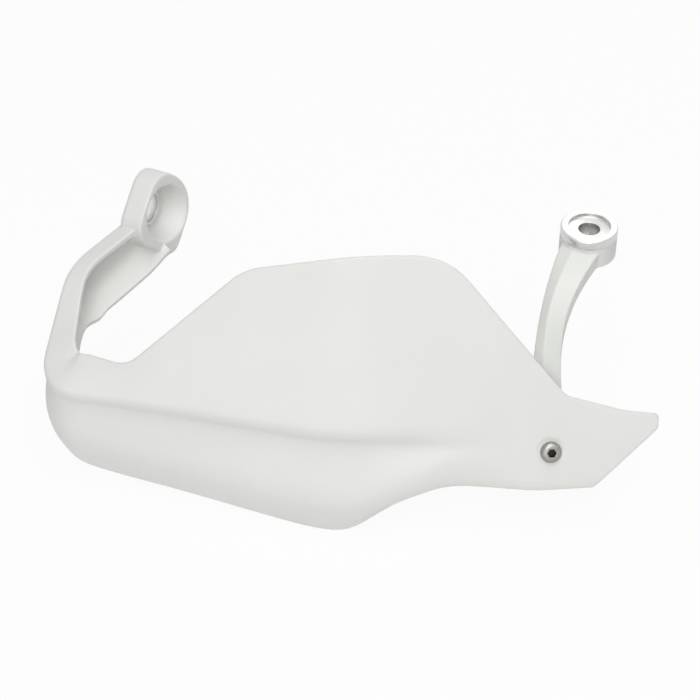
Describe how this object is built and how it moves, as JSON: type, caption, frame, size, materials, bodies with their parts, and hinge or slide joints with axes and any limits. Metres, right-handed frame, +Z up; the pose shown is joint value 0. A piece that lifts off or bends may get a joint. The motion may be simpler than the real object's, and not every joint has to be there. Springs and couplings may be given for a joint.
{
  "type": "motorcycle hand guard",
  "caption": "White moulded motorcycle hand guard with a wind deflector lobe, an outer arm to the bar end and an inner bracket to the mirror stem.",
  "frame": {"origin": "centre of the spacer ring's bore in the bar-end boss, at the ring's inboard face, where the end of the handlebar sits", "axes": "+X along the guard towards the middle of the bike, +Y to the rear, +Z up, as the guard sits on a level handlebar"},
  "size_m": [0.3053, 0.1661, 0.1348],
  "materials": {
    "shell_plastic": "satin milky white moulding",
    "bracket_plastic": "satin milky white moulding",
    "dark_steel": "dark phosphated steel",
    "clip_steel": "dark spring steel sheet",
    "turned_zinc": "turned, zinc plated",
    "ring_zinc": "turned, zinc plated"
  },
  "bodies": {
    "root": {"guard_shell": "shell_plastic", "inner_bracket": "bracket_plastic", "bracket_screw": "dark_steel", "clip_nut": "clip_steel", "stem_bush": "turned_zinc", "bar_end_ring": "ring_zinc"}
  },
  "joints": []
}
